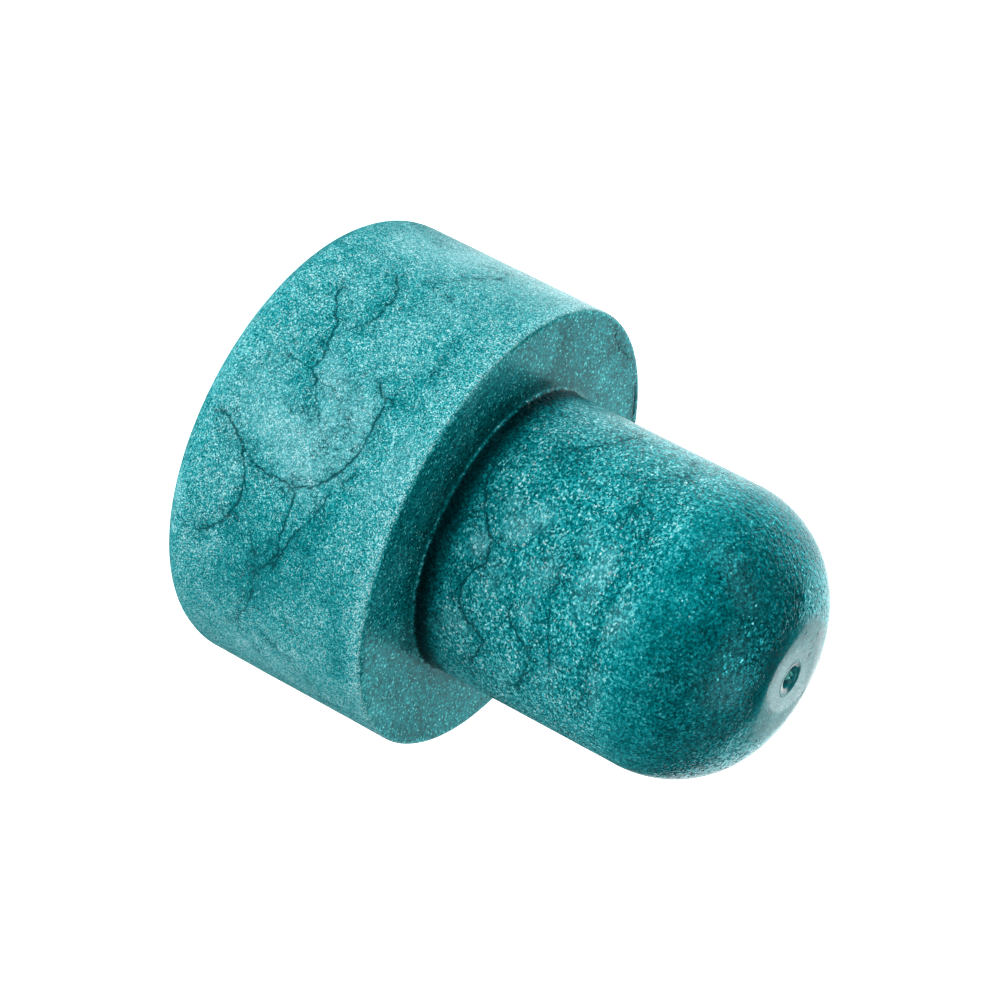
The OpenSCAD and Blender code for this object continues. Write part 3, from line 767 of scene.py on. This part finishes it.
    # Painted shade: the lip face's colour loses most of its red, a greener copy of the plastic as it looks in shade
    colour = n.mix(flat_lip, ramp.outputs[0], (0.40, 1.0, 0.98, 1), "MULTIPLY")
    milk = n.span(pale, 0.5, 1.0, 0.0, MILK)
    colour = n.mix(milk, colour, n.mix(0.5, colour, (0.300, 0.520, 0.580, 1)))
    colour = n.mix(n.math("MULTIPLY", stub, 0.95), colour, (0.22, 0.98, 0.86, 1))
    ragged = n.math("MULTIPLY", line, n.span(fine, 0.0, 1.0, 0.62, 1.42))
    dark = n.math("MULTIPLY", n.span(ragged, 0.31, 0.72, smooth=True), 0.90, clamp=True)
    veins = n.voronoi(flow.outputs[0], 2.3, "DISTANCE_TO_EDGE")
    patchy = n.span(n.noise(co, 1.3, 2.0, 0.5).outputs["Fac"], 0.41, 0.55, smooth=True)
    crinkle = n.math("MULTIPLY", n.span(veins.outputs["Distance"], 0.075, 0.022, smooth=True), n.math("MULTIPLY", n.span(halo, 0.05, 0.30, smooth=True), patchy))
    dark = n.math("MAXIMUM", dark, n.math("MULTIPLY", crinkle, 0.88))
    colour = n.mix(dark, colour, (0.0, 0.055, 0.068, 1))
    n.put(bsdf.inputs["Base Color"], colour)

    # Gloss: a textured skin of small facets, smooth round the tip under a clear gloss
    rough = n.math("MULTIPLY", n.span(rare, 0.0, 1.0, 0.13, 0.32), n.math("MULTIPLY", n.span(on_nose, 0.0, 1.0, 1.0, 0.55), n.span(flat_lip, 0.0, 1.0, 1.0, 0.9)))
    n.put(bsdf.inputs["Roughness"], n.math("ADD", rough, n.math("MULTIPLY", dark, 0.3), clamp=True))
    glint = n.math("MULTIPLY", n.math("MULTIPLY", n.span(rare, 0.90, 0.93), rough_skin), n.span(on_nose, 0.0, 1.0, n.span(on_shank, 0.0, 1.0, 0.30, 0.50), 0.60))
    pearl = n.math("MAXIMUM", n.math("MULTIPLY", flat_lip, 0.22), n.math("MULTIPLY", n.math("MULTIPLY", on_nose, rough_skin), 0.18))
    n.put(bsdf.inputs["Metallic"], n.math("MULTIPLY", n.math("MAXIMUM", glint, pearl), n.math("SUBTRACT", 1.0, dark, clamp=True)))
    bsdf.inputs["IOR"].default_value = 1.5
    bsdf.inputs["Specular IOR Level"].default_value = 0.09
    bsdf.inputs["Specular Tint"].default_value = (0.10, 0.92, 1.00, 1)
    bsdf.inputs["Sheen Weight"].default_value = 0.03
    bsdf.inputs["Sheen Roughness"].default_value = 0.35
    bsdf.inputs["Sheen Tint"].default_value = (0.35, 0.95, 1.00, 1)
    n.put(bsdf.inputs["Coat Weight"], n.math("MAXIMUM", n.math("MAXIMUM", n.math("MULTIPLY", tip, 0.34), n.math("MULTIPLY", flat_lip, 0.03)), polish))
    bsdf.inputs["Coat Roughness"].default_value = 0.06

    geometry = n.add("ShaderNodeNewGeometry")
    cells = n.add("ShaderNodeMix", data_type="RGBA")
    n.put(cells.inputs[0], on_nose)
    n.put(cells.inputs[6], blend_colour(on_shank, head_flakes, shank_flakes))
    n.put(cells.inputs[7], nose_flakes)
    tilt = n.add("ShaderNodeVectorMath", operation="SUBTRACT")
    n.put(tilt.inputs[0], cells.outputs[2])
    tilt.inputs[1].default_value = (0.5, 0.5, 0.5)
    lean = n.add("ShaderNodeVectorMath", operation="SCALE")
    n.put(lean.inputs[0], tilt.outputs[0])
    n.put(lean.inputs["Scale"], n.math("MULTIPLY", n.math("MULTIPLY", n.span(tip, 0.0, 1.0, 1.0, 0.06), n.span(flat_lip, 0.0, 1.0, 1.0, 0.15)), n.span(on_nose, 0.0, 1.0, FACET, FACET * 0.9)))
    faceted = n.add("ShaderNodeVectorMath", operation="ADD")
    n.put(faceted.inputs[0], geometry.outputs["Normal"])
    n.put(faceted.inputs[1], lean.outputs[0])
    unit = n.add("ShaderNodeVectorMath", operation="NORMALIZE")
    n.put(unit.inputs[0], faceted.outputs[0])
    bump = n.add("ShaderNodeBump")
    bump.inputs["Strength"].default_value = 1.0
    bump.inputs["Distance"].default_value = 0.00004
    peel = n.noise(co, 3.4, 1.0, 0.4).outputs["Fac"]
    skin = n.math("ADD", n.math("MULTIPLY", grain, 0.75), n.math("MULTIPLY", n.math("MULTIPLY", peel, 2.2), n.span(on_nose, 0.0, 1.0, n.span(on_shank, 0.0, 1.0, 0.25, 1.4), 0.95)))
    n.put(bump.inputs["Height"], n.math("MULTIPLY", n.math("MULTIPLY", skin, n.span(flat_lip, 0.0, 1.0, 1.0, 0.35)), n.span(tip, 0.0, 1.0, 1.0, 0.10)))
    n.put(bump.inputs["Normal"], unit.outputs[0])
    n.put(bsdf.inputs["Normal"], bump.outputs[0])
    return mat


FLAKE_HEAD, FLAKE_LIP, FLAKE_SHANK, FLAKE_NOSE = 19.0, 9.0, 10.0, 8.0     # cells per mm
FACET = 0.35
MIDDLE, CLOUD, STREAK, GRAIN, FLAKE, SPARK_AND_PAINTED_GLINT, MILK = 0.31, 0.24, 0.18, 0.30, 0.88, 0.55, 0.4

stopper = build_stopper()
stopper.data.materials.append(plastic())
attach(stopper, "root")
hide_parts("stopper")

# ---------------------------------------------------------------- floor, light and camera
centre = (lo + hi) / 2


def stage_floor():
    mesh = bpy.data.meshes.new("floor")
    mesh.from_pydata([(-3, -3, lo.z), (3, -3, lo.z), (3, 3, lo.z), (-3, 3, lo.z)], [], [(0, 1, 2, 3)])
    floor = bpy.data.objects.new("floor", mesh)
    bpy.context.scene.collection.objects.link(floor)
    mat = bpy.data.materials.new("pale_floor")
    mat.use_nodes = True
    shader = mat.node_tree.nodes["Principled BSDF"]
    shader.inputs["Base Color"].default_value = (0.8, 0.8, 0.8, 1)
    shader.inputs["Roughness"].default_value = 0.9
    shader.inputs["Specular IOR Level"].default_value = 0.0
    shader.inputs["Emission Color"].default_value = (1, 1, 1, 1)
    shader.inputs["Emission Strength"].default_value = FLOOR_GLOW
    # What the gloss of the part mirrors: a table that is lit from behind, so it is bright behind and to the left, and dim in front
    n = Nodes(mat.node_tree, clear=False)
    where = n.add("ShaderNodeNewGeometry")
    xyz = n.add("ShaderNodeSeparateXYZ")
    n.put(xyz.inputs[0], where.outputs["Position"])
    slanted = n.math("SUBTRACT", xyz.outputs[0], n.math("MULTIPLY", xyz.outputs[1], 0.5))
    behind = n.math("MULTIPLY", n.span(xyz.outputs[1], -0.010, 0.028, smooth=True), n.span(slanted, -0.010, -0.026, smooth=True))
    lit = n.add("ShaderNodeEmission")
    n.put(lit.inputs[1], n.span(behind, 0.0, 1.0, 0.05, 1.9))
    path = n.add("ShaderNodeLightPath")
    pick = n.add("ShaderNodeMixShader")
    n.put(pick.inputs[0], path.outputs["Is Glossy Ray"])
    n.put(pick.inputs[1], shader.outputs[0])
    n.put(pick.inputs[2], lit.outputs[0])
    n.put(mat.node_tree.nodes["Material Output"].inputs[0], pick.outputs[0])
    mesh.materials.append(mat)
    return floor


def softbox(name, azimuth, elevation, width, height, radiance, distance=0.7):
    """A soft box in the studio. width and height are the angles that it spans, in degrees; with no height it is round."""
    data = bpy.data.lights.new(name, "AREA")
    data.shape = "RECTANGLE" if height else "DISK"
    data.size = 2 * distance * math.tan(math.radians(width / 2))
    data.size_y = 2 * distance * math.tan(math.radians(height / 2))
    area = data.size * data.size_y if height else math.pi * (data.size / 2) ** 2
    data.energy = radiance * math.pi * area
    lamp = bpy.data.objects.new(name, data)
    bpy.context.scene.collection.objects.link(lamp)
    a, e = math.radians(azimuth), math.radians(elevation)
    out = Vector((math.cos(a) * math.cos(e), math.sin(a) * math.cos(e), math.sin(e)))
    side = Vector((-math.sin(a), math.cos(a), 0.0))
    upward = out.cross(side)
    lamp.matrix_world = Matrix.Translation(centre + out * distance) @ Matrix((side, upward, out)).transposed().to_4x4()
    lamp.visible_camera = False
    return lamp


FLOOR_GLOW = 1.3
LAMPS = [
    # name, azimuth, elevation, width, height, radiance
    ("back_right", 72, 15, 34, 30, 0.95),
    ("back", 106, 15, 34, 30, 1.6),
    ("back_left", 140, 15, 34, 30, 2.3),
    ("front_left", -122, 20, 64, 0, 1.45),
    ("top", 52, 69, 34, 0, 2.9),
    ("side_right", 10, 25, 34, 0, 0.7),
]
stage_floor()
for item in LAMPS:
    softbox(*item)

world = bpy.data.worlds.new("studio")
bpy.context.scene.world = world
world.use_nodes = True
wn = Nodes(world.node_tree)
sky_out = wn.add("ShaderNodeOutputWorld")
path = wn.add("ShaderNodeLightPath")
dim = wn.add("ShaderNodeBackground")
dim.inputs[0].default_value = (1, 1, 1, 1)
dim.inputs[1].default_value = 0.02
white = wn.add("ShaderNodeBackground")
white.inputs[0].default_value = (1, 1, 1, 1)
white.inputs[1].default_value = 1.1
pick = wn.add("ShaderNodeMixShader")
wn.put(pick.inputs[0], path.outputs["Is Camera Ray"])
wn.put(pick.inputs[1], dim.outputs[0])
wn.put(pick.inputs[2], white.outputs[0])
wn.put(sky_out.inputs[0], pick.outputs[0])

# The camera stands in front, 24 degrees up, 262 mm from the outer end's centre, and is rolled so that the nose points down to the right
cam_data = bpy.data.cameras.new("camera")
cam = bpy.data.objects.new("camera", cam_data)
bpy.context.scene.collection.objects.link(cam)
look = Vector((0.0, 0.91336, -0.40715)).normalized()
right = Vector((-0.45784, 0.36197, 0.81201)).normalized()
up = right.cross(look).normalized()
right = look.cross(up).normalized()
at = Vector((-0.001535, -0.233402, 0.118848))
cam.matrix_world = Matrix(((right.x, up.x, -look.x, at.x), (right.y, up.y, -look.y, at.y), (right.z, up.z, -look.z, at.z), (0, 0, 0, 1)))
cam_data.lens = 146.886
cam_data.sensor_width = 36.0
cam_data.clip_start = 0.01
cam_data.clip_end = 20
bpy.context.scene.camera = cam
bpy.context.scene.view_settings.view_transform = "Standard"
bpy.context.scene.view_settings.look = "None"

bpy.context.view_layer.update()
